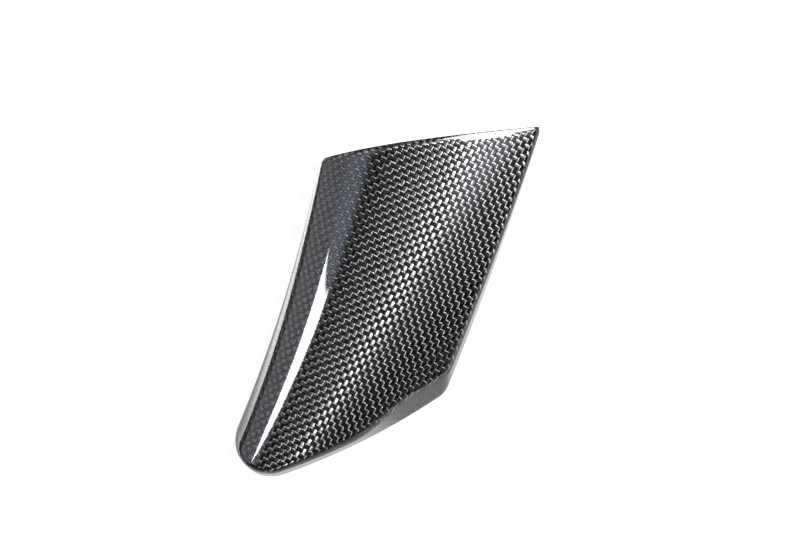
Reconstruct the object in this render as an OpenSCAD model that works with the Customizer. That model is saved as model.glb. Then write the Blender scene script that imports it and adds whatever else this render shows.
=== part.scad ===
/* [Plan outline] */
// Length of the leading edge, from the open end to the toe
leading_length = 105.7; // [95:0.2:115]
// How far the leading edge bows inward, as the angle that it turns through
leading_bow = 10.8; // [4:0.5:15]
// Radius of the rounded toe
toe_radius = 14.2; // [11:0.1:16]
// Angle that the outline turns through at the toe
toe_turn = 132.1; // [126:0.2:136]
// Length of the lower edge, from the toe to the heel
lower_length = 66.7; // [60:1:74]
// Angle that the lower edge turns through as it bows outward
lower_bow = 14.4; // [6:0.2:18]
// Radius of the rounded heel, where the lower and trailing edges meet
heel_radius = 10.4; // [7:0.2:13]
// Angle that the outline turns through at the heel
heel_turn = 34.2; // [31:1:39]
// Length of the trailing edge, from the heel to the open end
trailing_length = 102.2; // [96:0.2:108]
// Angle that the trailing edge turns through as it bows outward
trailing_bow = 4; // [1:0.1:7]

/* [Depth] */
// Height of the crest over the rim at the open end
crest_root = 38.4; // [34:0.2:42]
// Height of the crest line over the rim at the toe
crest_toe = 19; // [18:0.2:22]
// How far the crest line bows up between the two
crest_bow = 0.6; // [0:0.1:4]

/* [Cross section] */
// Distance of the crest from the leading edge at the open end
crest_offset_root = 35.6; // [32:0.2:40]
// The same at the toe
crest_offset_toe = 21.4; // [20:0.2:24]
// Radius of the curve from the nose up to the crest, at the open end
front_radius_root = 52; // [46:1:64]
// The same at the toe
front_radius_toe = 31; // [29:1:40]
// Radius of the shallow curve from the crest to the trailing edge, at the open end
back_radius_root = 116; // [90:1:140]
// The same at the toe
back_radius_toe = 25; // [20:1:40]
// How far the nose falls below the front curve at the open end
nose_fall_root = 4; // [2:0.2:7]
// The same at the toe
nose_fall_toe = 13.4; // [11:0.2:14]
// How late the nose turns down at the open end: a larger value gives a blunter nose
nose_bluntness_root = 2.3; // [2:0.1:3]
// The same at the toe
nose_bluntness_toe = 3.6; // [3:0.1:4]

/* [Laminate] */
// Thickness of the moulded laminate
wall = 1.6; // [1:0.1:2]
// Length along each edge of the rounding between the face and its side walls
shoulder = 2.5; // [2.2:0.1:3]
// The same on the leading edge, where the nose already turns the face down
nose_shoulder = 1.5; // [1.2:0.1:2]

/* [Side walls] */
// How far the top of the leading wall is set in from the rim, for release from the mould
leading_set = 0.3; // [0:0.1:1]
// The same round the toe and along the first part of the lower edge
toe_set = 0.9; // [0.4:0.1:2]
// The same where the lower wall opens into a bevel, just before the heel
bevel_set = 5.6; // [2:0.2:7]
// The same on the trailing wall beside the heel
trailing_set = 1.4; // [0.6:0.1:3]
// The same on the trailing wall at the open end
root_set = 0.5; // [0:0.1:1.2]
// Share of the lower edge at which the bevel starts
bevel_from = 0.42; // [0.2:0.02:0.6]
// Share of the lower edge at which the bevel is full
bevel_to = 0.88; // [0.8:0.02:0.9]
// Length of lower edge that the walls turn the corner in, before the heel
sweep_before = 5; // [4:0.5:7]
// Length of trailing edge that the walls turn the corner in, after the heel
sweep_after = 6.5; // [5:0.5:9]
// How tightly the top of the walls turns the corner there
heel_tightness = 2.5; // [1:0.1:4]

/* [Open end] */
// Width of the lip that turns inward round the open end
lip_width = 2.4; // [1.8:0.1:3.2]
// Angle that the lip turns through
lip_turn = 42; // [20:1:46]

/* [Smoothness] */
// Sections along each long edge
long_steps = 26; // [18:1:30]
// Sections round the toe
toe_steps = 12; // [8:1:14]
// Sections along the lower edge
lower_steps = 18; // [12:1:22]
// Sections round the heel
heel_steps = 12; // [8:1:14]
// Steps up each side wall
wall_steps = 3; // [2:1:5]
// Steps across the rounding of each shoulder
shoulder_steps = 5; // [4:1:6]
// Steps from the shoulder up to the crest
face_steps = 13; // [10:1:15]

/* [Hidden] */
laminate_color = [0.09, 0.09, 0.1];

// The skins run on this far past the open end, and are cut there
overrun = 2;
// Sections crowd towards the open end, and face steps towards the shoulder
root_crowding = 1.8;
face_crowding = 1.6;
// Where the sections fan out, counted from the end of the leading edge
fan_inset = [1.2, 0.75] * crest_offset_toe;
// The flat part of a wall keeps at least this share of its height
least_flat = 0.2;
// Half step for a slope
tiny = 0.001;

// A place on the outline is [x, y, heading]. This walks it along an arc [length, turn].
function walk(at, arc) =
    let (r = arc[0] / arc[1] * 180 / PI, h = at[2])
    [at[0] + r * (sin(h + arc[1]) - sin(h)), at[1] - r * (cos(h + arc[1]) - cos(h)), h + arc[1]];
function arc_length(radius, turn) = radius * turn * PI / 180;

// The outline is one chain of arcs: leading edge, toe, lower edge, heel, trailing edge
arcs = [
    [leading_length, -leading_bow],
    [arc_length(toe_radius, toe_turn), toe_turn],
    [lower_length, lower_bow],
    [arc_length(heel_radius, heel_turn), heel_turn],
    [trailing_length, trailing_bow]
];
start = [0, 0, leading_bow / 2 - 90];
function joint(i) = i == 0 ? start : walk(joint(i - 1), arcs[i - 1]);
joints = [for (i = [0:len(arcs)]) joint(i)];
function outline_at(i, share) = share == 0 ? joints[i] : walk(joints[i], arcs[i] * share);

// Distance along the outline to each joint of its arcs
function run_to(i) = i == 0 ? 0 : run_to(i - 1) + arcs[i - 1][0];
toe_start = run_to(1);
lower_start = run_to(2);
heel_start = run_to(3);
trailing_start = run_to(4);

// The open end is cut straight from the start of the leading edge to the end of the trailing edge
root_a = [joints[0][0], joints[0][1]];
root_b = [joints[5][0], joints[5][1]];
root_angle = atan2(root_b[1] - root_a[1], root_b[0] - root_a[0]);
root_out = [-sin(root_angle), cos(root_angle)];
function from_root(p) = (root_a - [p[0], p[1]]) * root_out;

// Leading edge circle, which carries the nose
nose_circle = leading_length / leading_bow * 180 / PI;
nose_center = [
    start[0] + nose_circle * sin(start[2]),
    start[1] - nose_circle * cos(start[2])
];
function nose_x(y) = nose_center[0] + sqrt(nose_circle * nose_circle - pow(y - nose_center[1], 2));

// Crest line: highest at the open end, lowest at the toe
crest_x = root_a[0] + crest_offset_root;
y_high = root_a[1] + crest_offset_root * tan(root_angle);
y_low = joints[1][1] - toe_radius;
function along(y) = (y_high - y) / (y_high - y_low);
function between(at_root, at_toe, share) = at_root + (at_toe - at_root) * share;
function crest(share) = between(crest_root, crest_toe, share) + 4 * crest_bow * share * (1 - share);

// How far the outer face lies below its crest, at a distance q from the leading edge
function fall(q, share) =
    let (
        offset = between(crest_offset_root, crest_offset_toe, share),
        radius = q < offset
            ? between(front_radius_root, front_radius_toe, share)
            : between(back_radius_root, back_radius_toe, share),
        nose = between(nose_fall_root, nose_fall_toe, share),
        bluntness = between(nose_bluntness_root, nose_bluntness_toe, share),
        t = min(max(1 - q / offset, 0), 1)
    )
    pow(q - offset, 2) / (2 * radius) + nose * (1 - sqrt(1 - pow(t, bluntness)));

// Height of the outer face over the rim, before the side walls turn it down
function height(x, y) =
    let (share = along(y))
    crest(share) - fall(x - nose_x(y), share);
function height_at(p) = height(p[0], p[1]);
function face_normal(p) =
    let (
        gx = (height(p[0] + tiny, p[1]) - height(p[0] - tiny, p[1])) / (2 * tiny),
        gy = (height(p[0], p[1] + tiny) - height(p[0], p[1] - tiny)) / (2 * tiny)
    )
    unit([-gx, -gy, 1]);
function unit(v) = v / norm(v);

// A smooth change from 0 to 1 along a stretch of the outline
function ramp(run, from, to) =
    let (t = min(max((run - from) / (to - from), 0), 1))
    t * t * (3 - 2 * t);
bevel_start = lower_start + bevel_from * lower_length;
bevel_full = lower_start + bevel_to * lower_length;
sweep_start = heel_start - sweep_before;
sweep_end = trailing_start + sweep_after;
function set_at(run) =
    leading_set
    + (toe_set - leading_set) * ramp(run, toe_start, lower_start)
    + (bevel_set - toe_set) * ramp(run, bevel_start, bevel_full)
    + (trailing_set - bevel_set) * ramp(run, bevel_full, sweep_end)
    + (root_set - trailing_set) * ramp(run, sweep_end, run_to(5));
function shoulder_at(run) = nose_shoulder + (shoulder - nose_shoulder) * ramp(run, toe_start, lower_start);

// The top of the walls in plan: set in square to the outline, and mitred round the heel
function set_in(at, run) = [at[0], at[1]] + [-sin(at[2]), cos(at[2])] * set_at(run);
sweep_from = outline_at(2, 1 - sweep_before / lower_length);
sweep_to = outline_at(4, sweep_after / trailing_length);
mitre = meeting(set_in(sweep_from, sweep_start), sweep_from[2], set_in(sweep_to, sweep_end), sweep_to[2]);
// Point where two lines meet, each given by a point and a heading
function meeting(a, heading_a, b, heading_b) =
    let (along_a = [cos(heading_a), sin(heading_a)], along_b = [cos(heading_b), sin(heading_b)])
    a + along_a * cross(b - a, along_b) / cross(along_a, along_b);
function wall_top(at, run) =
    run <= sweep_start || run >= sweep_end ? set_in(at, run) :
    round_corner(set_in(sweep_from, sweep_start), mitre, set_in(sweep_to, sweep_end), heel_tightness,
        (run - sweep_start) / (sweep_end - sweep_start));

// Sections run from the outline to a spine along the crest, and fan out from its toe end.
// Each is [place on the outline, distance along it, point on the spine].
spine_root = [crest_x, y_high];
spine_toe = [joints[1][0] + fan_inset[0], joints[1][1] + fan_inset[1]];
function spine_at(share) = spine_root + (spine_toe - spine_root) * share;
sections = concat(
    [for (i = [0:long_steps])
        let (share = pow(i / long_steps, root_crowding))
        [outline_at(0, share), share * leading_length, spine_at(share)]],
    [for (i = [1:toe_steps]) fan_section(1, i / toe_steps)],
    [for (i = [1:lower_steps]) fan_section(2, i / lower_steps * (1 - sweep_before / lower_length))],
    [for (i = [1:heel_steps]) sweep_section(sweep_start + (sweep_end - sweep_start) * i / heel_steps)],
    [for (i = [long_steps - 1:-1:0])
        let (
            share = pow(i / long_steps, root_crowding),
            run = sweep_after + (trailing_length - sweep_after) * (1 - share)
        )
        [outline_at(4, run / trailing_length), trailing_start + run, spine_at(share)]]
);
function fan_section(i, share) = [outline_at(i, share), run_to(i) + share * arcs[i][0], spine_toe];
function sweep_section(run) =
    let (i = run < heel_start ? 2 : run < trailing_start ? 3 : 4)
    fan_section(i, (run - run_to(i)) / arcs[i][0]);
last = len(sections) - 1;
fan_first = long_steps;
fan_last = last - long_steps;

// One section of the outer skin, from the rim up the wall, round the shoulder and on to the spine
function section_points(section) =
    let (
        foot = [section[0][0], section[0][1], 0],
        top = wall_top(section[0], section[1]),
        inward = unit(section[2] - top),
        size = shoulder_at(section[1]),
        rim = top + inward * size,
        slope = (height_at(rim + inward * tiny) - height_at(rim - inward * tiny)) / (2 * tiny),
        face_end = [rim[0], rim[1], height_at(rim)],
        corner = [top[0], top[1], height_at(rim) - slope * size],
        flat = max(1 - norm(face_end - corner) / norm(corner - foot), least_flat),
        wall_end = foot + (corner - foot) * flat,
        turn = acos(unit(corner - foot) * unit(face_end - corner))
    )
    concat(
        [for (i = [0:wall_steps - 1]) foot + (wall_end - foot) * i / wall_steps],
        [for (i = [0:shoulder_steps - 1])
            round_corner(wall_end, corner, face_end, cos(turn / 2), i / shoulder_steps)],
        [for (i = [0:face_steps])
            let (p = rim + (section[2] - rim) * pow(i / face_steps, face_crowding))
            [p[0], p[1], height_at(p)]]
    );
// Rounding between two edges that meet at a corner
function round_corner(a, corner, b, weight, t) =
    let (wa = pow(1 - t, 2), wc = 2 * weight * t * (1 - t), wb = t * t)
    (wa * a + wc * corner + wb * b) / (wa + wc + wb);

base = [for (section = sections) section_points(section)];
rings = wall_steps + shoulder_steps + face_steps + 1;

// Outward normal at each point, from its neighbours, and from the face itself at the spine
function normal_at(i, k) =
    k == rings - 1 ? face_normal(base[i][k]) :
    unit(cross(
        base[min(i + 1, last)][k] - base[max(i - 1, 0)][k],
        base[i][k + 1] - base[i][max(k - 1, 0)]
    ));
normals = [for (i = [0:last]) [for (k = [0:rings - 1]) normal_at(i, k)]];

// The lip draws the skin inward as it nears the open end
lip_radius = lip_width / tan(lip_turn);
function lip(p) = pow(max(lip_width - from_root(p), 0), 2) / (2 * lip_radius);
// The finished box is centred on the origin, with the rim at z = 0
function skin(depth) = [for (i = [0:last]) [for (k = [0:rings - 1])
    base[i][k] - inset(normals[i][k], k == 0) * (lip(base[i][k]) + depth)]];
// Step of unit depth through the laminate, kept level along the rim
function inset(normal, level) =
    let (flat = [normal[0], normal[1], 0])
    level ? flat / (flat * flat) : normal;
function run_on(row) = [for (p = row) p + overrun * [root_out[0], root_out[1], 0]];
function whole_skin(depth) = let (s = skin(depth)) concat([run_on(s[0])], s, [run_on(s[last])]);

outer = whole_skin(0);
inner = whole_skin(wall);
kept = concat(
    [for (row = outer) for (p = row) if (from_root(p) > 0) p],
    [for (i = [0:len(outer) - 2]) for (k = [0:rings - 1])
        let (a = outer[i][k], b = outer[i + 1][k], from_a = from_root(a), from_b = from_root(b))
        if (from_a * from_b < 0) a + (b - a) * from_a / (from_a - from_b)]
);
box_low = [for (axis = [0, 1]) min([for (p = kept) p[axis]])];
box_high = [for (axis = [0, 1]) max([for (p = kept) p[axis]])];
to_center = -(box_low + box_high) / 2;

// Triangles between two neighbouring rows of a skin, with one triangle where a fan meets its spine point
rows = len(outer);
function vertex(side, i, k) = (side * rows + i) * rings + k;
function meets_in_point(i) = i - 1 >= fan_first && i - 1 < fan_last;
function cell(side, i, k) =
    let (
        a = vertex(side, i, k),
        b = vertex(side, i + 1, k),
        c = vertex(side, i + 1, k + 1),
        d = vertex(side, i, k + 1),
        one = k == rings - 2 && meets_in_point(i)
    )
    side == 0
        ? (one ? [[a, c, b]] : [[a, c, b], [a, d, c]])
        : (one ? [[a, b, c]] : [[a, b, c], [a, c, d]]);
function edge_strip(a, b, c, d) = [[a, b, c], [a, c, d]];
shell_faces = concat(
    [for (side = [0, 1]) for (i = [0:rows - 2]) for (k = [0:rings - 2]) each cell(side, i, k)],
    [for (i = [0:rows - 2])
        each edge_strip(vertex(0, i, 0), vertex(0, i + 1, 0), vertex(1, i + 1, 0), vertex(1, i, 0))],
    [for (k = [0:rings - 2])
        each edge_strip(vertex(0, 0, k + 1), vertex(0, 0, k), vertex(1, 0, k), vertex(1, 0, k + 1))],
    [for (k = [0:rings - 2])
        each edge_strip(vertex(0, rows - 1, k), vertex(0, rows - 1, k + 1),
            vertex(1, rows - 1, k + 1), vertex(1, rows - 1, k))]
);

// Box that takes away what lies beyond the open end
module beyond_root() {
    size = leading_length + trailing_length;
    translate(root_a) rotate(root_angle) translate([-size / 2, 0, -size / 2]) cube(size);
}

// The whole frame is one moulded shell, open underneath and at its wide end
module mirror_frame() {
    color(laminate_color) translate(to_center) difference() {
        polyhedron(
            points = [for (side = [outer, inner]) for (row = side) for (p = row) p],
            faces = shell_faces,
            convexity = 6
        );
        beyond_root();
    }
}

mirror_frame();
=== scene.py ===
import math
import bmesh
import bpy
import numpy as np
from mathutils import Matrix, Vector


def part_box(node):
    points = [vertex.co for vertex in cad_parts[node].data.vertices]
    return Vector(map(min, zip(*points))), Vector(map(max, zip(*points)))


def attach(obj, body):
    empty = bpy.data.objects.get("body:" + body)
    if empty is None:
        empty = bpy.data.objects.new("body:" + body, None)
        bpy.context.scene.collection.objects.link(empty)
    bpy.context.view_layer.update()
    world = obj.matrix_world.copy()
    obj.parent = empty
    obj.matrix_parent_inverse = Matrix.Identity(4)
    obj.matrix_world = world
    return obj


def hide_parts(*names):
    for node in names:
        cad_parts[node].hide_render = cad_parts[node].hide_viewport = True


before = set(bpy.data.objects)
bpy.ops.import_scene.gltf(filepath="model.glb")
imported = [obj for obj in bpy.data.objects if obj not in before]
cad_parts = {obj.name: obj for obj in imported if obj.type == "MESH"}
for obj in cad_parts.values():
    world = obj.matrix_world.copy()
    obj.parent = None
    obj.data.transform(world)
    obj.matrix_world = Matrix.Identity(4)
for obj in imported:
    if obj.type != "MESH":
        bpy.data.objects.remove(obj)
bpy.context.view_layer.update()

# Mirror frame: one thin shell of carbon cloth in clear resin, laid in a female mould and
# cured under pressure. Its gloss side is the moulded face. The rim and the open end are
# trimmed after curing, and the open end has a small lip that turns inward.
MM = 0.001
LEADING_LENGTH, LEADING_BOW = 105.7, 10.8
TOE_RADIUS, TOE_TURN = 14.2, 132.1
LOWER_LENGTH, LOWER_BOW = 66.7, 14.4
HEEL_RADIUS, HEEL_TURN = 10.4, 34.2
TRAILING_LENGTH, TRAILING_BOW = 102.2, 4
CREST_HEIGHT = {"root": 38.4, "toe": 19}
CREST_BOW = 0.6
CREST_OFFSET = {"root": 35.6, "toe": 21.4}
FRONT_RADIUS = {"root": 52, "toe": 31}
BACK_RADIUS = {"root": 116, "toe": 25}
NOSE_FALL = {"root": 4, "toe": 13.4}
NOSE_BLUNTNESS = {"root": 2.3, "toe": 3.6}
WALL, SHOULDER, NOSE_SHOULDER = 1.6, 2.5, 1.5
LEADING_SET, TOE_SET, BEVEL_SET, TRAILING_SET, ROOT_SET = 0.3, 0.9, 5.6, 1.4, 0.5
BEVEL_FROM, BEVEL_TO = 0.42, 0.88
SWEEP_BEFORE, SWEEP_AFTER, HEEL_TIGHTNESS = 5, 6.5, 2.5
LIP_WIDTH, LIP_TURN = 2.4, 42
LEAST_FLAT = 0.2
FAN_INSET = (25.7, 16)
LONG_STEPS, TOE_STEPS, LOWER_STEPS, HEEL_STEPS = 60, 40, 56, 40
WALL_STEPS, SHOULDER_STEPS, FACE_STEPS = 8, 12, 44
ROOT_CROWDING, FACE_CROWDING = 1.4, 1.3

# The outline is one chain of arcs [length, turn in degrees], walked from the open end
ARCS = (
    (LEADING_LENGTH, -LEADING_BOW),
    (math.radians(TOE_TURN) * TOE_RADIUS, TOE_TURN),
    (LOWER_LENGTH, LOWER_BOW),
    (math.radians(HEEL_TURN) * HEEL_RADIUS, HEEL_TURN),
    (TRAILING_LENGTH, TRAILING_BOW),
)


def walk(joint, arc, share=1.0):
    """Places [x, y, heading] along one arc, at shares of its length."""
    length, turn = arc
    radius = length / math.radians(turn)
    x, y, heading = joint
    ahead = heading + math.radians(turn) * np.asarray(share, float)
    return np.stack([
        x + radius * (np.sin(ahead) - math.sin(heading)),
        y - radius * (np.cos(ahead) - math.cos(heading)),
        ahead,
    ], -1)


JOINTS = [np.array([0, 0, math.radians(LEADING_BOW / 2 - 90)])]
for arc in ARCS:
    JOINTS.append(walk(JOINTS[-1], arc))
RUNS = np.concatenate([[0], np.cumsum([arc[0] for arc in ARCS])])
ROOT_A, ROOT_B = JOINTS[0][:2], JOINTS[5][:2]
ROOT_ALONG = (ROOT_B - ROOT_A) / np.linalg.norm(ROOT_B - ROOT_A)
ROOT_OUT = np.array([-ROOT_ALONG[1], ROOT_ALONG[0]])
NOSE_RADIUS = LEADING_LENGTH / math.radians(LEADING_BOW)
NOSE_CENTER = NOSE_RADIUS * np.array([math.sin(JOINTS[0][2]), -math.cos(JOINTS[0][2])])
CREST_HIGH_Y = CREST_OFFSET["root"] * ROOT_ALONG[1] / ROOT_ALONG[0]
CREST_LOW_Y = JOINTS[1][1] - TOE_RADIUS


def from_root(p):
    return (ROOT_A - p[..., :2]) @ ROOT_OUT


def nose_x(y):
    return NOSE_CENTER[0] + np.sqrt(NOSE_RADIUS ** 2 - (y - NOSE_CENTER[1]) ** 2)


def height(x, y):
    """Height of the outer face over the rim, before the side walls turn it down."""
    share = (CREST_HIGH_Y - y) / (CREST_HIGH_Y - CREST_LOW_Y)
    crest, offset, front, back, nose, bluntness = (
        size["root"] + (size["toe"] - size["root"]) * share
        for size in (CREST_HEIGHT, CREST_OFFSET, FRONT_RADIUS, BACK_RADIUS, NOSE_FALL, NOSE_BLUNTNESS)
    )
    q = x - nose_x(y)
    t = np.clip(1 - q / offset, 0, 1)
    curve = (q - offset) ** 2 / (2 * np.where(q < offset, front, back))
    return crest + 4 * CREST_BOW * share * (1 - share) - curve - nose * (1 - np.sqrt(1 - t ** bluntness))


def ramp(run, start, end):
    t = np.clip((run - start) / (end - start), 0, 1)
    return t * t * (3 - 2 * t)


SWEEP_START = RUNS[3] - SWEEP_BEFORE
SWEEP_END = RUNS[4] + SWEEP_AFTER


def set_in(at, run):
    """The top of a side wall in plan, set in square to the outline."""
    bevel_start = RUNS[2] + BEVEL_FROM * LOWER_LENGTH
    bevel_full = RUNS[2] + BEVEL_TO * LOWER_LENGTH
    by = (
        LEADING_SET
        + (TOE_SET - LEADING_SET) * ramp(run, RUNS[1], RUNS[2])
        + (BEVEL_SET - TOE_SET) * ramp(run, bevel_start, bevel_full)
        + (TRAILING_SET - BEVEL_SET) * ramp(run, bevel_full, SWEEP_END)
        + (ROOT_SET - TRAILING_SET) * ramp(run, SWEEP_END, RUNS[5])
    )
    inward = np.stack([-np.sin(at[..., 2]), np.cos(at[..., 2])], -1)
    return at[..., :2] + inward * np.asarray(by)[..., None]


def round_corner(a, corner, b, weight, t):
    """A conic from a to b that rounds the corner between them."""
    wa, wc, wb = (1 - t) ** 2, 2 * weight * t * (1 - t), t * t
    return (wa * a + wc * corner + wb * b) / (wa + wc + wb)


def meeting(a, heading_a, b, heading_b):
    """Where two lines meet, each given by a point and a heading."""
    along_a = np.array([math.cos(heading_a), math.sin(heading_a)])
    along_b = np.array([math.cos(heading_b), math.sin(heading_b)])
    cross = along_a[0] * along_b[1] - along_a[1] * along_b[0]
    gap = b - a
    return a + along_a * (gap[0] * along_b[1] - gap[1] * along_b[0]) / cross


# Sections run from the outline in to a spine under the crest, and fan out from its toe end
root_share = (np.arange(LONG_STEPS + 1) / LONG_STEPS) ** ROOT_CROWDING
spine_root = np.array([CREST_OFFSET["root"], CREST_HIGH_Y])
spine_toe = JOINTS[1][:2] + FAN_INSET
lower_share = np.arange(1, LOWER_STEPS + 1) / LOWER_STEPS * (1 - SWEEP_BEFORE / LOWER_LENGTH)
sweep_run = SWEEP_START + (SWEEP_END - SWEEP_START) * np.arange(1, HEEL_STEPS + 1) / HEEL_STEPS
trailing_run = SWEEP_AFTER + (TRAILING_LENGTH - SWEEP_AFTER) * (1 - root_share[-2::-1])
toe_share = np.arange(1, TOE_STEPS + 1) / TOE_STEPS
section_runs = np.concatenate([
    root_share * LEADING_LENGTH,
    RUNS[1] + toe_share * ARCS[1][0],
    RUNS[2] + lower_share * LOWER_LENGTH,
    sweep_run,
    RUNS[4] + trailing_run,
])
spine = np.concatenate([
    spine_root + (spine_toe - spine_root) * root_share[:, None],
    np.tile(spine_toe, (TOE_STEPS + LOWER_STEPS + HEEL_STEPS, 1)),
    spine_root + (spine_toe - spine_root) * root_share[-2::-1, None],
])
arc_index = np.clip(np.searchsorted(RUNS, section_runs - 1e-9, side="right") - 1, 0, 4)
outline = np.array([
    walk(JOINTS[i], ARCS[i], (run - RUNS[i]) / ARCS[i][0])
    for i, run in zip(arc_index, section_runs)
])
sweep_a = walk(JOINTS[2], ARCS[2], 1 - SWEEP_BEFORE / LOWER_LENGTH)
sweep_b = walk(JOINTS[4], ARCS[4], SWEEP_AFTER / TRAILING_LENGTH)
sweep_ends = set_in(sweep_a, SWEEP_START), set_in(sweep_b, SWEEP_END)
mitre = meeting(sweep_ends[0], sweep_a[2], sweep_ends[1], sweep_b[2])
swept = np.clip((section_runs - SWEEP_START) / (SWEEP_END - SWEEP_START), 0, 1)[:, None]
wall_top = np.where(
    (swept <= 0) | (swept >= 1),
    set_in(outline, section_runs),
    round_corner(sweep_ends[0], mitre, sweep_ends[1], HEEL_TIGHTNESS, swept),
)

# Each section goes from the rim up the wall, round the shoulder and over the face to the spine
TINY = 0.001
inward = spine - wall_top
inward /= np.linalg.norm(inward, axis=1)[:, None]
shoulder = NOSE_SHOULDER + (SHOULDER - NOSE_SHOULDER) * ramp(section_runs, RUNS[1], RUNS[2])[:, None]
edge = wall_top + inward * shoulder
edge_height = height(edge[:, 0], edge[:, 1])
ahead, behind = edge + inward * TINY, edge - inward * TINY
slope = (height(ahead[:, 0], ahead[:, 1]) - height(behind[:, 0], behind[:, 1])) / (2 * TINY)
foot = np.column_stack([outline[:, :2], np.zeros(len(outline))])
face_end = np.column_stack([edge, edge_height])
corner = np.column_stack([wall_top, edge_height - slope * shoulder[:, 0]])
up, over = corner - foot, face_end - corner
up_length, over_length = np.linalg.norm(up, axis=1), np.linalg.norm(over, axis=1)
flat = np.maximum(1 - over_length / up_length, LEAST_FLAT)[:, None]
wall_end = foot + up * flat
turn = np.arccos((up * over).sum(1) / (up_length * over_length))[:, None]
face_shares = (np.arange(FACE_STEPS + 1) / FACE_STEPS) ** FACE_CROWDING
columns = [foot + (wall_end - foot) * i / WALL_STEPS for i in range(WALL_STEPS)]
columns += [
    round_corner(wall_end, corner, face_end, np.cos(turn / 2), i / SHOULDER_STEPS)
    for i in range(SHOULDER_STEPS)
]
for share in face_shares:
    p = edge + (spine - edge) * share
    columns.append(np.column_stack([p, height(p[:, 0], p[:, 1])]))
base = np.stack(columns, 1)
SECTIONS, RINGS = base.shape[:2]

# Outward normals from the neighbours of each point, and from the face itself at the spine
around = np.concatenate([base[1:], base[-1:]]) - np.concatenate([base[:1], base[:-1]])
inwards = np.concatenate([base[:, 1:], base[:, -1:]], 1) - np.concatenate([base[:, :1], base[:, :-1]], 1)
normals = np.cross(around, inwards)
sx, sy = base[:, -1, 0], base[:, -1, 1]
normals[:, -1] = np.column_stack([
    -(height(sx + TINY, sy) - height(sx - TINY, sy)) / (2 * TINY),
    -(height(sx, sy + TINY) - height(sx, sy - TINY)) / (2 * TINY),
    np.ones(SECTIONS),
])
normals /= np.linalg.norm(normals, axis=2)[..., None]
step_in = normals.copy()
step_in[:, 0, 2] = 0
step_in[:, 0] /= (step_in[:, 0] ** 2).sum(1)[:, None]
lip_radius = LIP_WIDTH / math.tan(math.radians(LIP_TURN))
lip = np.maximum(LIP_WIDTH - from_root(base), 0) ** 2 / (2 * lip_radius)

# The weave lies on the face by arc length, and carries on down the side walls from there
STRETCH_FREE = 30
ACROSS_FROM, ACROSS_TO, ACROSS_STEPS = -4, 100, 1041
STATION_FROM, STATION_TO, STATIONS = 60, -130, 96
q = np.linspace(ACROSS_FROM, ACROSS_TO, ACROSS_STEPS)
station_y = np.linspace(STATION_FROM, STATION_TO, STATIONS)
stretch = np.zeros((len(station_y), len(q)))
for row, y in enumerate(station_y):
    slope_excess = np.sqrt(1 + np.gradient(height(nose_x(y) + q, y), q) ** 2) - 1
    stretch[row, 1:] = np.cumsum((slope_excess[1:] + slope_excess[:-1]) / 2 * np.diff(q))
    stretch[row] -= np.interp(STRETCH_FREE, q, stretch[row])
place_q = (base[..., 0] - nose_x(base[..., 1]) - q[0]) / (q[1] - q[0])
place_row = (base[..., 1] - station_y[0]) / (station_y[1] - station_y[0])
low_q, low_row = place_q.astype(int), place_row.astype(int)
share_q, share_row = place_q - low_q, place_row - low_row
cloth = base[:, :, :2].copy()
cloth[..., 0] += (
    stretch[low_row, low_q] * (1 - share_row) * (1 - share_q)
    + stretch[low_row, low_q + 1] * (1 - share_row) * share_q
    + stretch[low_row + 1, low_q] * share_row * (1 - share_q)
    + stretch[low_row + 1, low_q + 1] * share_row * share_q
)
outwards = cloth[:, WALL_STEPS + SHOULDER_STEPS] - cloth[:, WALL_STEPS + SHOULDER_STEPS + 1]
outwards /= np.linalg.norm(outwards, axis=1)[:, None]
down = np.zeros(SECTIONS)
for k in range(WALL_STEPS + SHOULDER_STEPS - 1, -1, -1):
    down += np.linalg.norm(base[:, k + 1] - base[:, k], axis=1)
    cloth[:, k] = cloth[:, WALL_STEPS + SHOULDER_STEPS] + outwards * down[:, None]

RUN_ON = 2
NEAR_ROWS = LONG_STEPS // 2


def trimmed(skin, skin_cloth):
    """Ends each ring of a skin on the plane of the open end, and spreads its rows up to there."""
    values = np.concatenate([skin, skin_cloth], 2)
    spread = (np.arange(NEAR_ROWS) / (NEAR_ROWS - 1)) ** ROOT_CROWDING
    for side in (slice(None), slice(None, None, -1)):
        rows = values[side][:NEAR_ROWS]
        run_on = rows[0].copy()
        run_on[:, :2] += RUN_ON * ROOT_OUT
        rows = np.concatenate([run_on[None], rows])
        depth = from_root(rows)
        for k in range(RINGS):
            reach = depth[-1, k] * spread
            for axis in range(values.shape[2]):
                values[side][:NEAR_ROWS][:, k, axis] = np.interp(reach, depth[:, k], rows[:, k, axis])
    return values[..., :3], values[..., 3:]


outer, outer_cloth = trimmed(base - step_in * lip[..., None], cloth)
inner, inner_cloth = trimmed(base - step_in * (lip + WALL)[..., None], cloth)

# One closed mesh: the gloss face, the bag side within, and the trimmed edges between them
TRIM_ROUNDING, TRIM_SEGMENTS = 0.2, 2
SNUG = 0.9995
SAME_POINT = 1e-7
points = np.concatenate([outer.reshape(-1, 3), inner.reshape(-1, 3)])
cad_low, cad_high = (np.array(corner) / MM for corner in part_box("mirror_frame"))
points[:, :2] += ((cad_low + cad_high) / 2 - (points.min(0) + points.max(0)) / 2)[:2]
points *= min((cad_high / points.max(0)).min(), (cad_low[:2] / points.min(0)[:2]).min(), 1) * SNUG
index = np.arange(len(points)).reshape(2, SECTIONS, RINGS)
quads, face_kinds = [], []


def add_quads(a, b, c, d, kind):
    made = np.stack([a, b, c, d], -1).reshape(-1, 4)
    quads.extend(made.tolist())
    face_kinds.extend([kind] * len(made))


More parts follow.
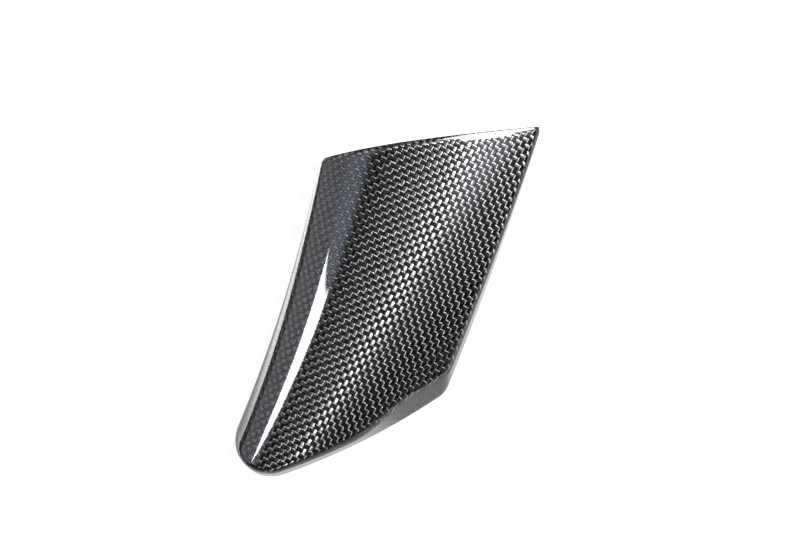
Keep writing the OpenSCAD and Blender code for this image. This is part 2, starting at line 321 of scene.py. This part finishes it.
GLOSS, BAG_SIDE, TRIMMED_EDGE = 0, 1, 2
o, i = index
add_quads(o[:-1, :-1], o[1:, :-1], o[1:, 1:], o[:-1, 1:], GLOSS)
add_quads(i[:-1, :-1], i[:-1, 1:], i[1:, 1:], i[1:, :-1], BAG_SIDE)
add_quads(o[:-1, 0], i[:-1, 0], i[1:, 0], o[1:, 0], TRIMMED_EDGE)
add_quads(o[0, :-1], o[0, 1:], i[0, 1:], i[0, :-1], TRIMMED_EDGE)
add_quads(o[-1, :-1], i[-1, :-1], i[-1, 1:], o[-1, 1:], TRIMMED_EDGE)
mesh = bpy.data.meshes.new("carbon_shell")
mesh.from_pydata((points * MM).tolist(), [], quads)
mesh.polygons.foreach_set("material_index", face_kinds)

# The cloth lies about ten degrees off the leading edge, and its map counts tows 2 mm apart
TOW = 2.0
WEAVE_ANGLE = math.radians(-10.21)
cloth_all = np.concatenate([outer_cloth.reshape(-1, 2), inner_cloth.reshape(-1, 2)])
turned = np.column_stack([
    cloth_all @ (math.cos(WEAVE_ANGLE), math.sin(WEAVE_ANGLE)),
    cloth_all @ (-math.sin(WEAVE_ANGLE), math.cos(WEAVE_ANGLE)),
]) / TOW
weave_map = mesh.uv_layers.new(name="weave")
corner_vertex = np.zeros(len(mesh.loops), int)
mesh.loops.foreach_get("vertex_index", corner_vertex)
weave_map.data.foreach_set("uv", turned[corner_vertex].ravel())

# A second map counts plies from the gloss side in, and the length along the edge in mm
PLY = 0.27
plies = np.repeat([0, WALL / PLY], len(points) // 2)
along_edge = np.tile(np.repeat(section_runs, RINGS), 2)
ply_map = mesh.uv_layers.new(name="plies")
ply_map.data.foreach_set("uv", np.column_stack([plies, along_edge])[corner_vertex].ravel())

shell_work = bmesh.new()
shell_work.from_mesh(mesh)
bmesh.ops.remove_doubles(shell_work, verts=shell_work.verts, dist=SAME_POINT)
bmesh.ops.recalc_face_normals(shell_work, faces=shell_work.faces)
trim_edges = [
    e for e in shell_work.edges
    if len(e.link_faces) == 2
    and (e.link_faces[0].material_index == TRIMMED_EDGE) != (e.link_faces[1].material_index == TRIMMED_EDGE)
]
bmesh.ops.bevel(
    shell_work, geom=trim_edges, offset=TRIM_ROUNDING * MM, segments=TRIM_SEGMENTS, profile=0.5,
    affect="EDGES", clamp_overlap=True, material=TRIMMED_EDGE,
)
for f in shell_work.faces:
    f.smooth = True
shell_work.to_mesh(mesh)
shell_work.free()
carbon_shell = bpy.data.objects.new("carbon_shell", mesh)
bpy.context.scene.collection.objects.link(carbon_shell)


def linear(hex_colour):
    """An sRGB hex colour as linear RGBA."""
    channels = [int(hex_colour[k:k + 2], 16) / 255 for k in (0, 2, 4)]
    return [c / 12.92 if c <= 0.04045 else ((c + 0.055) / 1.055) ** 2.4 for c in channels] + [1]


def bare_material(name):
    """A material whose nodes are all still to be added."""
    made = bpy.data.materials.new(name)
    made.use_nodes = True
    made.node_tree.nodes.clear()
    return made


def add(tree, kind, inputs=None, **settings):
    """Adds one node. An input is a number, a colour, another node's socket, or a node's first output."""
    made = tree.nodes.new("ShaderNode" + kind)
    for name, value in settings.items():
        setattr(made, name, value)
    for key, value in (inputs or {}).items():
        if isinstance(value, bpy.types.Node):
            value = value.outputs[0]
        if isinstance(value, bpy.types.NodeSocket):
            tree.links.new(value, made.inputs[key])
        else:
            made.inputs[key].default_value = value
    return made


# Moulded carbon laminate: plain weave of bright filaments under clear gloss resin. Each tow
# shines only where it lies square to the light, so the cloth flickers in small bars. Filaments
# are too fine to show, so they are drawn as strands a tenth of a mm wide.
CRIMP_MIDDLE, CRIMP_DIVE, EDGE_TIGHTENING = 0.01, 0.36, 0.6
TOW_CROWN = 0.25
STRAND_TILT = 0.18
STRAND_GRAIN = (1.2, 22, 7)
WANDER_SCALE, WANDER_TOWS = 0.16, 0.5
GAP_FROM, GAP_TONE = 0.36, 0.2
QUARTER_TURN = 0.25
NOISE_LOW, NOISE_HIGH = 0.3, 0.7
DULLEST_STRAND, BRIGHTEST_STRAND = 0.7, 1.25


def weave(tree, fibre_colour):
    """Nodes of the cloth: its colour, its tilted normal, and how far each tow's gloss is turned."""
    where = add(tree, "UVMap", uv_map="weave")
    wander = add(tree, "TexNoise", {
        "Vector": where, "Scale": WANDER_SCALE, "Detail": 1.0,
    }, noise_dimensions="2D")
    wander = add(tree, "VectorMath", {0: wander.outputs["Color"], 1: (0.5, 0.5, 0.5)}, operation="SUBTRACT")
    place = add(tree, "VectorMath", {
        0: wander, 1: (WANDER_TOWS, WANDER_TOWS, 0), 2: where,
    }, operation="MULTIPLY_ADD")
    cell = add(tree, "VectorMath", {0: place}, operation="FLOOR")
    local = add(tree, "VectorMath", {0: place, 1: cell}, operation="SUBTRACT")
    local = add(tree, "VectorMath", {0: local, 1: (0.5, 0.5, 0)}, operation="SUBTRACT")
    cell_xy = add(tree, "SeparateXYZ", {0: cell})
    local_xy = add(tree, "SeparateXYZ", {0: local})
    checker = add(tree, "Math", {0: cell_xy.outputs[0], 1: cell_xy.outputs[1]}, operation="ADD")
    checker = add(tree, "Math", {0: checker, 1: 2.0}, operation="FLOORED_MODULO")
    along = add(tree, "Mix", {0: checker, 2: local_xy.outputs[0], 3: local_xy.outputs[1]}, data_type="FLOAT")
    across = add(tree, "Mix", {0: checker, 2: local_xy.outputs[1], 3: local_xy.outputs[0]}, data_type="FLOAT")

    from_middle = add(tree, "Math", {0: along, 1: 2.0}, operation="MULTIPLY")
    squared = add(tree, "Math", {0: from_middle, 1: from_middle}, operation="MULTIPLY")
    dive = add(tree, "Math", {0: squared, 1: CRIMP_DIVE, 2: CRIMP_MIDDLE}, operation="MULTIPLY_ADD")
    from_centreline = add(tree, "Math", {0: across, 1: 2.0}, operation="MULTIPLY")
    tightening = add(tree, "Math", {0: from_centreline, 1: from_centreline}, operation="MULTIPLY")
    tightening = add(tree, "Math", {0: tightening, 1: EDGE_TIGHTENING, 2: 1.0}, operation="MULTIPLY_ADD")
    dive = add(tree, "Math", {0: dive, 1: tightening}, operation="MULTIPLY")
    dive = add(tree, "Math", {0: dive, 1: from_middle}, operation="MULTIPLY")
    crown = add(tree, "Math", {0: across, 1: 2 * TOW_CROWN}, operation="MULTIPLY")
    strand_place = add(tree, "CombineXYZ", {0: along, 1: across, 2: checker})
    strand_place = add(tree, "VectorMath", {0: strand_place, 1: STRAND_GRAIN}, operation="MULTIPLY")
    strand_place = add(tree, "VectorMath", {0: strand_place, 1: cell}, operation="ADD")
    strands = add(tree, "TexNoise", {"Vector": strand_place, "Scale": 1.0, "Detail": 2.0})
    strand_tilt = add(tree, "MapRange", {
        0: strands, 1: NOISE_LOW, 2: NOISE_HIGH, 3: -STRAND_TILT, 4: STRAND_TILT,
    })
    crown = add(tree, "Math", {0: crown, 1: strand_tilt}, operation="ADD")

    first_slope = add(tree, "Mix", {0: checker, 2: dive, 3: crown}, data_type="FLOAT")
    second_slope = add(tree, "Mix", {0: checker, 2: crown, 3: dive}, data_type="FLOAT")
    surface = add(tree, "NewGeometry")
    first_way = add(tree, "Tangent", direction_type="UV_MAP", uv_map="weave")
    second_way = add(tree, "VectorMath", {
        0: surface.outputs["Normal"], 1: first_way,
    }, operation="CROSS_PRODUCT")
    first_tilt = add(tree, "VectorMath", {0: first_way, "Scale": first_slope}, operation="SCALE")
    second_tilt = add(tree, "VectorMath", {0: second_way, "Scale": second_slope}, operation="SCALE")
    normal = add(tree, "VectorMath", {0: surface.outputs["Normal"], 1: first_tilt}, operation="ADD")
    normal = add(tree, "VectorMath", {0: normal, 1: second_tilt}, operation="ADD")
    normal = add(tree, "VectorMath", {0: normal}, operation="NORMALIZE")
    turned_gloss = add(tree, "MapRange", {0: checker, 3: QUARTER_TURN, 4: 0.0})

    gap = add(tree, "Math", {0: across}, operation="ABSOLUTE")
    gap = add(tree, "MapRange", {
        0: gap, 1: GAP_FROM, 2: 0.5, 3: 1.0, 4: GAP_TONE,
    }, interpolation_type="SMOOTHSTEP")
    strand_tone = add(tree, "MapRange", {
        0: strands, 1: NOISE_LOW, 2: NOISE_HIGH, 3: DULLEST_STRAND, 4: BRIGHTEST_STRAND,
    })
    tone = add(tree, "Math", {0: gap, 1: strand_tone}, operation="MULTIPLY")
    colour = add(tree, "VectorMath", {0: linear(fibre_colour)[:3], "Scale": tone}, operation="SCALE")
    return colour, normal, first_way, turned_gloss


laminate = bare_material("moulded_carbon_laminate")
tree = laminate.node_tree
cloth_colour, cloth_normal, cloth_way, turned_gloss = weave(tree, "7b7878")
finish = add(tree, "BsdfPrincipled", {
    "Base Color": cloth_colour, "Metallic": 1.0, "Roughness": 0.36, "Normal": cloth_normal,
    "Anisotropic": 1.0, "Anisotropic Rotation": turned_gloss, "Tangent": cloth_way,
    "Specular Tint": linear("000000"),
    "Coat Weight": 1.0, "Coat Roughness": 0.0, "Coat IOR": 1.5,
})
add(tree, "OutputMaterial", {"Surface": finish})
mesh.materials.append(laminate)

# Bag side of the laminate: the same cloth under thin matt resin, which the vacuum bag left
# with soft bumps and creases a little over 2 mm apart
CREASES_PER_TOW, CREASE_DEPTH = 0.9, 0.4
bag_side = bare_material("bagged_carbon_laminate")
tree = bag_side.node_tree
cloth_colour, cloth_normal, cloth_way, turned_gloss = weave(tree, "3c3b3b")
spot = add(tree, "UVMap", uv_map="weave")
creases = add(tree, "TexNoise", {
    "Vector": spot, "Scale": CREASES_PER_TOW, "Detail": 3.0, "Distortion": 0.6,
})
bumps = add(tree, "Bump", {"Height": creases, "Strength": 0.35, "Distance": CREASE_DEPTH * MM})
finish = add(tree, "BsdfPrincipled", {
    "Base Color": cloth_colour, "Metallic": 1.0, "Roughness": 0.5, "Normal": cloth_normal,
    "Anisotropic": 0.8, "Anisotropic Rotation": turned_gloss, "Tangent": cloth_way,
    "Coat Weight": 1.0, "Coat Roughness": 0.32, "Coat IOR": 1.5, "Coat Normal": bumps,
})
add(tree, "OutputMaterial", {"Surface": finish})
mesh.materials.append(bag_side)

# Trimmed edge: cut plies sanded matt, so thin grey lines of cloth lie between black resin. The
# grit's marks are drawn a third of a mm long, coarser than real ones, so that they show.
GRIT_PER_MM, GRIT_DEPTH, GRIT_SHARE = 3.0, 0.05, 0.8
EDGE_RANGE = 1.2
trimmed_edge = bare_material("sanded_laminate_edge")
tree = trimmed_edge.node_tree
cut = add(tree, "SeparateXYZ", {0: add(tree, "UVMap", uv_map="plies")})
ply = add(tree, "Math", {0: cut.outputs[0], 1: 2 * math.pi}, operation="MULTIPLY")
ply = add(tree, "Math", {0: ply}, operation="SINE")
grit_place = add(tree, "UVMap", uv_map="plies")
grit = add(tree, "TexNoise", {"Vector": grit_place, "Scale": GRIT_PER_MM, "Detail": 4.0})
grain = add(tree, "Math", {0: grit, 1: 2 * GRIT_SHARE, 2: -GRIT_SHARE}, operation="MULTIPLY_ADD")
ply = add(tree, "Math", {0: ply, 1: grain}, operation="ADD")
cloth_share = add(tree, "MapRange", {0: ply, 1: -EDGE_RANGE, 2: EDGE_RANGE})
sanded_colour = add(tree, "Mix", {
    0: cloth_share, 6: linear("121212"), 7: linear("303030"),
}, data_type="RGBA").outputs[2]
sanded_bumps = add(tree, "Bump", {"Height": grit, "Strength": 0.3, "Distance": GRIT_DEPTH * MM})
finish = add(tree, "BsdfPrincipled", {
    "Base Color": sanded_colour, "Roughness": 0.62, "Normal": sanded_bumps,
})
add(tree, "OutputMaterial", {"Surface": finish})
mesh.materials.append(trimmed_edge)

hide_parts("mirror_frame")
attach(carbon_shell, "root")

# The studio around the frame shows in its sharp gloss. The cloth under the gloss scatters far
# wider than its shader does, so the cloth and all that is matt get only a share of it.
SOFT_SHARE = 0.15


def sharp_gloss(tree, rays, strength, soft_share=SOFT_SHARE):
    """The full strength for sharp reflections, and a share of it for all other rays."""
    share = add(tree, "MapRange", {0: rays.outputs["Is Singular Ray"], 3: soft_share, 4: 1.0})
    return add(tree, "Math", {0: share, 1: strength}, operation="MULTIPLY")


# Studio table: a white board that ends a little to the left of the frame. Along the middle of the frame its
# left side carries a painted glow, emission in place of light falling there; sharp reflections show it in
# full, other rays in part.
FLOOR_REACH, FLOOR_LEFT, FLOOR_LEFT_NEAR = 1500, -90, -58
FLOOR_TURNS_FAR, FLOOR_TURNS_NEAR, FLOOR_DROP = 60, -75, 0.02
LIT_FROM, LIT_FULL, PAINTED_GLOW_GLOSS = -43, -58, 6.0
LIT_NEAR, LIT_MIDDLE, NEAR_SHARE = -80, -30, 0.35
LIT_END, DARK_END = 44, 52
TABLE_SEEN, TABLE_GLOSS = 0.975, 0.5
FLOOR_CORNERS = (
    (FLOOR_LEFT_NEAR, -FLOOR_REACH), (FLOOR_REACH, -FLOOR_REACH), (FLOOR_REACH, FLOOR_REACH),
    (FLOOR_LEFT, FLOOR_REACH), (FLOOR_LEFT, FLOOR_TURNS_FAR), (FLOOR_LEFT_NEAR, FLOOR_TURNS_NEAR),
)
floor_mesh = bpy.data.meshes.new("studio_table")
floor_points = [(x * MM, y * MM, 0) for x, y in FLOOR_CORNERS]
floor_mesh.from_pydata(floor_points, [], [range(len(floor_points))])
floor = bpy.data.objects.new("studio_table", floor_mesh)
floor.location.z = -FLOOR_DROP * MM
bpy.context.scene.collection.objects.link(floor)
board = bare_material("white_board")
tree = board.node_tree
rays = add(tree, "LightPath")
place = add(tree, "SeparateXYZ", {0: add(tree, "NewGeometry").outputs["Position"]})
# Painted light: the table's left side emits a glow that fades towards both ends, standing in for light
# falling on it
painted_glow_side = add(tree, "MapRange", {
    0: place.outputs[0], 1: LIT_FROM * MM, 2: LIT_FULL * MM, 3: 0.0, 4: PAINTED_GLOW_GLOSS,
})
near_end = add(tree, "MapRange", {
    0: place.outputs[1], 1: LIT_NEAR * MM, 2: LIT_MIDDLE * MM, 3: NEAR_SHARE, 4: 1.0,
})
far_end = add(tree, "MapRange", {
    0: place.outputs[1], 1: LIT_END * MM, 2: DARK_END * MM, 3: 1.0, 4: 0.0,
})
painted_glow_side = add(tree, "Math", {0: painted_glow_side, 1: near_end}, operation="MULTIPLY")
painted_glow_side = add(tree, "Math", {0: painted_glow_side, 1: far_end}, operation="MULTIPLY")
white = add(tree, "Math", {0: sharp_gloss(tree, rays, painted_glow_side), 1: TABLE_GLOSS}, operation="ADD")
white = add(tree, "Math", {0: white, 1: rays.outputs["Is Glossy Ray"]}, operation="MULTIPLY")
seen = add(tree, "Math", {
    0: rays.outputs["Is Camera Ray"], 1: rays.outputs["Is Transmission Ray"],
}, operation="MAXIMUM")
seen = add(tree, "Math", {0: seen, 1: TABLE_SEEN, 2: white}, operation="MULTIPLY_ADD")
matt = add(tree, "BsdfDiffuse", {"Color": linear("959595")})
glow = add(tree, "Emission", {"Strength": seen})
mixed = add(tree, "AddShader", {0: matt, 1: glow})
add(tree, "OutputMaterial", {"Surface": mixed})
floor_mesh.materials.append(board)

# Key light: a small round softbox above and to the right, which lights the tows. At its level
# a white surface square to it renders white.
KEY_WAY = Vector((0.34, 0.12, 0.93)).normalized()
KEY_DISTANCE, KEY_SIZE, KEY_POWER = 1.4, 0.18, 19
KEY_AIM = Vector((0, 0, 0.02))
key_data = bpy.data.lights.new("key_softbox", "AREA")
key_data.shape = "DISK"
key_data.size = KEY_SIZE
key_data.energy = KEY_POWER
key = bpy.data.objects.new("key_softbox", key_data)
key_place = KEY_WAY * KEY_DISTANCE
key_turn = (KEY_AIM - key_place).to_track_quat("-Z", "Y").to_matrix().to_4x4()
key.matrix_world = Matrix.Translation(key_place) @ key_turn
bpy.context.scene.collection.objects.link(key)

# Strip panel: a small bright panel to the left, which the nose shows as a long white streak. It
# fades out along one side, which bends with the height, so the streak's upper end is soft.
PANEL_X = -400
PANEL_STRENGTH = 26.0
FADE_BEND, FADE_SLOPE, FADE_START = 0.512, -0.547, 0.0707
FADE_DARK, FADE_FULL = -2.5, 3
PANEL_CORNERS = (
    (-23, 220), (-42, 288), (-54, 345), (-66, 408), (-84, 425), (-93, 426),
    (-108, 406), (-125, 370), (-128, 320), (-122, 268), (-98, 234),
)
panel_mesh = bpy.data.meshes.new("strip_panel")
panel_points = [(PANEL_X * MM, y * MM, z * MM) for y, z in PANEL_CORNERS]
panel_mesh.from_pydata(panel_points, [], [range(len(panel_points))])
panel = bpy.data.objects.new("strip_panel", panel_mesh)
bpy.context.scene.collection.objects.link(panel)
panel_light = bare_material("lit_diffuser")
tree = panel_light.node_tree
place = add(tree, "SeparateXYZ", {0: add(tree, "NewGeometry").outputs["Position"]})
side = add(tree, "Math", {0: place.outputs[2], 1: FADE_BEND, 2: FADE_SLOPE}, operation="MULTIPLY_ADD")
side = add(tree, "Math", {0: side, 1: place.outputs[2], 2: FADE_START}, operation="MULTIPLY_ADD")
inside = add(tree, "Math", {0: side, 1: place.outputs[1]}, operation="SUBTRACT")
lit = add(tree, "MapRange", {
    0: inside, 1: FADE_DARK * MM, 2: FADE_FULL * MM, 3: 0.0, 4: PANEL_STRENGTH,
}, interpolation_type="SMOOTHSTEP")
glow = add(tree, "Emission", {"Strength": sharp_gloss(tree, add(tree, "LightPath"), lit)})
add(tree, "OutputMaterial", {"Surface": glow})
panel_mesh.materials.append(panel_light)
panel.visible_diffuse = False

# Top card: a bright card over the open end, farther away than the key light, which the lip shows
# as a white wedge. Its corners are directions, as shares of the way to the right and the back.
CARD_DISTANCE, CARD_STRENGTH, CARD_SOFT_SHARE = 1700, 22.0, 0.1
CARD_CORNERS = (
    (-0.24, 0.64), (-0.16, 0.86), (0.08, 0.9), (0.22, 0.78), (0.27, 0.6),
    (0.31, 0.42), (0.46, 0.03), (0.24, 0.0), (0.03, 0.36),
)
card_points = [
    Vector((right, back, math.sqrt(1 - right ** 2 - back ** 2))) * CARD_DISTANCE * MM
    for right, back in CARD_CORNERS
]
card_mesh = bpy.data.meshes.new("top_card")
card_mesh.from_pydata(card_points, [], [range(len(card_points))])
card = bpy.data.objects.new("top_card", card_mesh)
bpy.context.scene.collection.objects.link(card)
card_light = bare_material("lit_card")
tree = card_light.node_tree
card_glow = sharp_gloss(tree, add(tree, "LightPath"), CARD_STRENGTH, CARD_SOFT_SHARE)
glow = add(tree, "Emission", {"Strength": card_glow})
add(tree, "OutputMaterial", {"Surface": glow})
card_mesh.materials.append(card_light)
card.visible_diffuse = False

# World: white to the camera. The gloss shows a white wall on the left, with a window's bluer light
# high on it, dark over and under it, and a glow beside the key light. Heights are sines of the
# angle over the horizon.
WALL_FOOT, WALL_HEAD, WALL_SIDE = (-0.19, -0.16), (0.65, 0.79), (-0.8, -0.93)
WALL_LIGHT = (0.95, 0.95, 1.05, 1)
WINDOW_FOOT, WINDOW_LIGHT = (0.33, 0.52), (1.25, 1.5, 1.85, 1)
GLOW_WAY = Vector((0.42, 0.02, 0.907)).normalized()
WIDE_FROM, WIDE_TO, WIDE_EDGE, WIDE_GLOW = 0.88, 0.98, 0.03, 0.35
CLOSE_FROM, CLOSE_TO, CLOSE_GLOW = 0.975, 0.9935, 2.0
GLOW_TINT = (0.94, 1, 1.14)
world = bpy.data.worlds.new("studio")
bpy.context.scene.world = world
world.use_nodes = True
tree = world.node_tree
tree.nodes.clear()
rays = add(tree, "LightPath")
direction = add(tree, "TexCoord").outputs["Generated"]
part = add(tree, "SeparateXYZ", {0: direction})
wall_foot = add(tree, "MapRange", {
    0: part.outputs[2], 1: WALL_FOOT[0], 2: WALL_FOOT[1],
}, interpolation_type="SMOOTHSTEP")
wall_head = add(tree, "MapRange", {
    0: part.outputs[2], 1: WALL_HEAD[0], 2: WALL_HEAD[1], 3: 1.0, 4: 0.0,
}, interpolation_type="SMOOTHSTEP")
level = add(tree, "VectorMath", {0: direction, 1: (1, 1, 0)}, operation="MULTIPLY")
level = add(tree, "VectorMath", {0: level}, operation="NORMALIZE")
level = add(tree, "SeparateXYZ", {0: level})
wall_side = add(tree, "MapRange", {
    0: level.outputs[0], 1: WALL_SIDE[0], 2: WALL_SIDE[1],
}, interpolation_type="SMOOTHSTEP")
wall = add(tree, "Math", {0: wall_foot, 1: wall_head}, operation="MULTIPLY")
wall = add(tree, "Math", {0: wall, 1: wall_side}, operation="MULTIPLY")
window = add(tree, "MapRange", {
    0: part.outputs[2], 1: WINDOW_FOOT[0], 2: WINDOW_FOOT[1],
}, interpolation_type="SMOOTHSTEP")
wall_colour = add(tree, "Mix", {0: window, 6: WALL_LIGHT, 7: WINDOW_LIGHT}, data_type="RGBA")
wall_colour = add(tree, "VectorMath", {0: wall_colour.outputs[2], "Scale": wall}, operation="SCALE")
near_key = add(tree, "VectorMath", {0: direction, 1: GLOW_WAY}, operation="DOT_PRODUCT").outputs["Value"]
wide_glow = add(tree, "MapRange", {0: near_key, 1: WIDE_FROM, 2: WIDE_TO, 3: WIDE_EDGE, 4: WIDE_GLOW})
close_glow = add(tree, "MapRange", {
    0: near_key, 1: CLOSE_FROM, 2: CLOSE_TO, 3: 0.0, 4: CLOSE_GLOW,
}, interpolation_type="SMOOTHSTEP")
key_glow = add(tree, "Math", {0: wide_glow, 1: close_glow}, operation="ADD")
key_glow = add(tree, "VectorMath", {0: GLOW_TINT, "Scale": key_glow}, operation="SCALE")
around = add(tree, "VectorMath", {0: wall_colour, 1: key_glow}, operation="ADD")
around = add(tree, "VectorMath", {0: around, "Scale": sharp_gloss(tree, rays, 1.0)}, operation="SCALE")
surroundings = add(tree, "Mix", {
    0: rays.outputs["Is Camera Ray"], 6: around, 7: (1, 1, 1, 1),
}, data_type="RGBA")
backdrop = add(tree, "Background", {"Color": surroundings.outputs[2], "Strength": 1.0})
add(tree, "OutputWorld", {"Surface": backdrop})

# Camera: high over the frame, a little on the toe's side and turned, with a long lens
CAMERA_AZIMUTH, CAMERA_ELEVATION = math.radians(17.39), math.radians(84)
CAMERA_AIM, CAMERA_DISTANCE = Vector((2.79, 13.24, 15.42)) * MM, 0.9
CAMERA_SENSOR, CAMERA_LENS = 36, 106.11
right = Vector((math.cos(CAMERA_AZIMUTH), math.sin(CAMERA_AZIMUTH), 0))
ahead_flat = Vector((-math.sin(CAMERA_AZIMUTH), math.cos(CAMERA_AZIMUTH), 0))
back = -ahead_flat * math.cos(CAMERA_ELEVATION) + Vector((0, 0, math.sin(CAMERA_ELEVATION)))
camera_data = bpy.data.cameras.new("camera")
camera_data.sensor_width = CAMERA_SENSOR
camera_data.lens = CAMERA_LENS
camera_data.clip_start, camera_data.clip_end = 0.01, 20
camera = bpy.data.objects.new("camera", camera_data)
axes = Matrix((right, back.cross(right), back)).transposed().to_4x4()
camera.matrix_world = Matrix.Translation(CAMERA_AIM + back * CAMERA_DISTANCE) @ axes
bpy.context.scene.collection.objects.link(camera)
bpy.context.scene.camera = camera
bpy.context.scene.view_settings.view_transform = "Standard"
